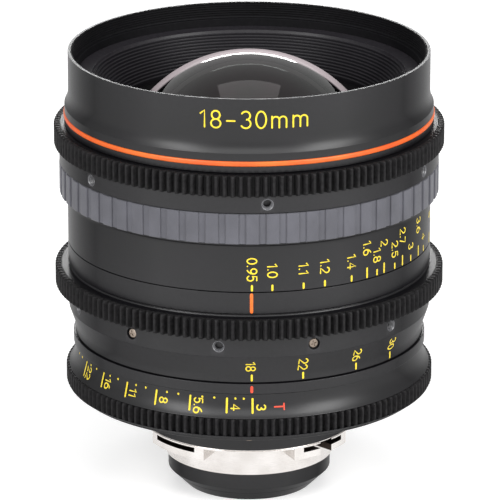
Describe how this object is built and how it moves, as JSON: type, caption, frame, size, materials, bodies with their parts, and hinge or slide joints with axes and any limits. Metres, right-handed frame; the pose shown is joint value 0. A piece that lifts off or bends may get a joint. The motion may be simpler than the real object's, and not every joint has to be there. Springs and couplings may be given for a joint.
{
  "type": "cinema zoom lens",
  "caption": "Cinema zoom lens: geared focus, zoom and iris rings with engraved dials, rubber grip, domed front glass in a ribbed hood, and a steel lug mount.",
  "frame": {"origin": "centre of the mount's seating face, the plane of the lugs' rear faces", "axes": "+Z along the optical axis towards the front glass, index lines facing -Y, +X to the right of somebody who reads them"},
  "size_m": [0.1232, 0.1232, 0.1435],
  "materials": {
    "black_anodised": "satin black anodised",
    "dark_anodised": "matt black anodised",
    "accent_orange": "satin orange anodised",
    "grip_rubber": "matt moulded rubber",
    "mount_steel": "turned, bright",
    "fastener_steel": "turned",
    "blade_steel": "blackened sheet",
    "brass": "turned",
    "glass": "polished and coated"
  },
  "bodies": {
    "barrel": {"front_hood": "black_anodised", "hood_baffle": "dark_anodised", "accent_ring": "accent_orange", "hood_screws": "fastener_steel", "main_barrel": "dark_anodised", "cam_retaining_ring": "brass", "focus_index_ring": "black_anodised", "iris_index_ring": "black_anodised", "rear_base": "black_anodised", "base_screws": "fastener_steel", "mount_shim": "mount_steel", "mount_flange": "mount_steel", "mount_screws": "fastener_steel", "rear_shroud": "black_anodised", "rear_cell": "dark_anodised", "rear_element_1": "glass", "rear_element_2": "glass", "rear_element_3": "glass", "rear_spacer": "dark_anodised", "rear_retaining_ring": "dark_anodised", "iris_plate": "dark_anodised", "iris_cover": "dark_anodised", "focus_stop_pin": "fastener_steel"},
    "focus_ring": {"focus_sleeve": "brass", "focus_lever_ring": "black_anodised", "focus_gear_ring": "black_anodised", "focus_grip": "grip_rubber", "focus_scale_ring": "black_anodised"},
    "front_group": {"front_cell": "dark_anodised", "front_bezel": "black_anodised", "front_element": "glass", "second_element": "glass", "third_element": "glass", "front_followers": "fastener_steel"},
    "zoom_ring": {"zoom_sleeve": "black_anodised", "zoom_gear_ring": "black_anodised", "zoom_screws": "fastener_steel", "zoom_drive_pins": "fastener_steel", "cam_tube": "brass"},
    "variator": {"variator_cell": "dark_anodised", "variator_element_1": "glass", "variator_element_2": "glass", "variator_followers": "fastener_steel"},
    "compensator": {"compensator_cell": "dark_anodised", "compensator_element": "glass", "compensator_followers": "fastener_steel"},
    "iris_ring": {"iris_ring": "black_anodised", "iris_cam_ring": "brass", "iris_coupling_pin": "fastener_steel"},
    "iris_blade_1": {"iris_blade_1": "blade_steel"},
    "iris_blade_2": {"iris_blade_2": "blade_steel"},
    "iris_blade_3": {"iris_blade_3": "blade_steel"},
    "iris_blade_4": {"iris_blade_4": "blade_steel"},
    "iris_blade_5": {"iris_blade_5": "blade_steel"},
    "iris_blade_6": {"iris_blade_6": "blade_steel"},
    "iris_blade_7": {"iris_blade_7": "blade_steel"},
    "iris_blade_8": {"iris_blade_8": "blade_steel"},
    "iris_blade_9": {"iris_blade_9": "blade_steel"}
  },
  "joints": [
    {"name": "focus_turn", "type": "hinge", "parent": "barrel", "child": "focus_ring", "pos_m": [0, 0, 0.084], "axis": [0, 0, 1], "range_deg": [-138, 0]},
    {"name": "front_group_slide", "type": "slide", "parent": "barrel", "child": "front_group", "axis": [0, 0, 1], "range_m": [-0.00767, 0]},
    {"name": "zoom_turn", "type": "hinge", "parent": "barrel", "child": "zoom_ring", "pos_m": [0, 0, 0.0462], "axis": [0, 0, 1], "range_deg": [-53, 0]},
    {"name": "variator_slide", "type": "slide", "parent": "barrel", "child": "variator", "axis": [0, 0, 1], "range_m": [0, 0.01101]},
    {"name": "compensator_slide", "type": "slide", "parent": "barrel", "child": "compensator", "axis": [0, 0, 1], "range_m": [-0.00301, 0]},
    {"name": "iris_turn", "type": "hinge", "parent": "barrel", "child": "iris_ring", "pos_m": [0, 0, 0.024], "axis": [0, 0, 1], "range_deg": [0, 67]},
    {"name": "iris_blade_1_swing", "type": "hinge", "parent": "barrel", "child": "iris_blade_1", "pos_m": [0, -0.027, 0.021], "axis": [0, 0, 1], "range_deg": [0, 32.72]},
    {"name": "iris_blade_2_swing", "type": "hinge", "parent": "barrel", "child": "iris_blade_2", "pos_m": [0.01736, -0.02068, 0.021], "axis": [0, 0, 1], "range_deg": [0, 32.72]},
    {"name": "iris_blade_3_swing", "type": "hinge", "parent": "barrel", "child": "iris_blade_3", "pos_m": [0.02659, -0.00469, 0.021], "axis": [0, 0, 1], "range_deg": [0, 32.72]},
    {"name": "iris_blade_4_swing", "type": "hinge", "parent": "barrel", "child": "iris_blade_4", "pos_m": [0.02338, 0.0135, 0.021], "axis": [0, 0, 1], "range_deg": [0, 32.72]},
    {"name": "iris_blade_5_swing", "type": "hinge", "parent": "barrel", "child": "iris_blade_5", "pos_m": [0.00923, 0.02537, 0.021], "axis": [0, 0, 1], "range_deg": [0, 32.72]},
    {"name": "iris_blade_6_swing", "type": "hinge", "parent": "barrel", "child": "iris_blade_6", "pos_m": [-0.00923, 0.02537, 0.021], "axis": [0, 0, 1], "range_deg": [0, 32.72]},
    {"name": "iris_blade_7_swing", "type": "hinge", "parent": "barrel", "child": "iris_blade_7", "pos_m": [-0.02338, 0.0135, 0.021], "axis": [0, 0, 1], "range_deg": [0, 32.72]},
    {"name": "iris_blade_8_swing", "type": "hinge", "parent": "barrel", "child": "iris_blade_8", "pos_m": [-0.02659, -0.00469, 0.021], "axis": [0, 0, 1], "range_deg": [0, 32.72]},
    {"name": "iris_blade_9_swing", "type": "hinge", "parent": "barrel", "child": "iris_blade_9", "pos_m": [-0.01736, -0.02068, 0.021], "axis": [0, 0, 1], "range_deg": [0, 32.72]}
  ],
  "couplings": [
    {"joint": "front_group_slide", "follows": "focus_turn", "m_per_rad": 0.0031831},
    {"joint": "variator_slide", "follows": "zoom_turn", "m_per_rad": -0.011892},
    {"joint": "compensator_slide", "follows": "zoom_turn", "m_per_rad": 0.0032432},
    {"joint": "iris_blade_1_swing", "follows": "iris_turn", "ratio": 0.48806},
    {"joint": "iris_blade_2_swing", "follows": "iris_turn", "ratio": 0.48806},
    {"joint": "iris_blade_3_swing", "follows": "iris_turn", "ratio": 0.48806},
    {"joint": "iris_blade_4_swing", "follows": "iris_turn", "ratio": 0.48806},
    {"joint": "iris_blade_5_swing", "follows": "iris_turn", "ratio": 0.48806},
    {"joint": "iris_blade_6_swing", "follows": "iris_turn", "ratio": 0.48806},
    {"joint": "iris_blade_7_swing", "follows": "iris_turn", "ratio": 0.48806},
    {"joint": "iris_blade_8_swing", "follows": "iris_turn", "ratio": 0.48806},
    {"joint": "iris_blade_9_swing", "follows": "iris_turn", "ratio": 0.48806}
  ]
}
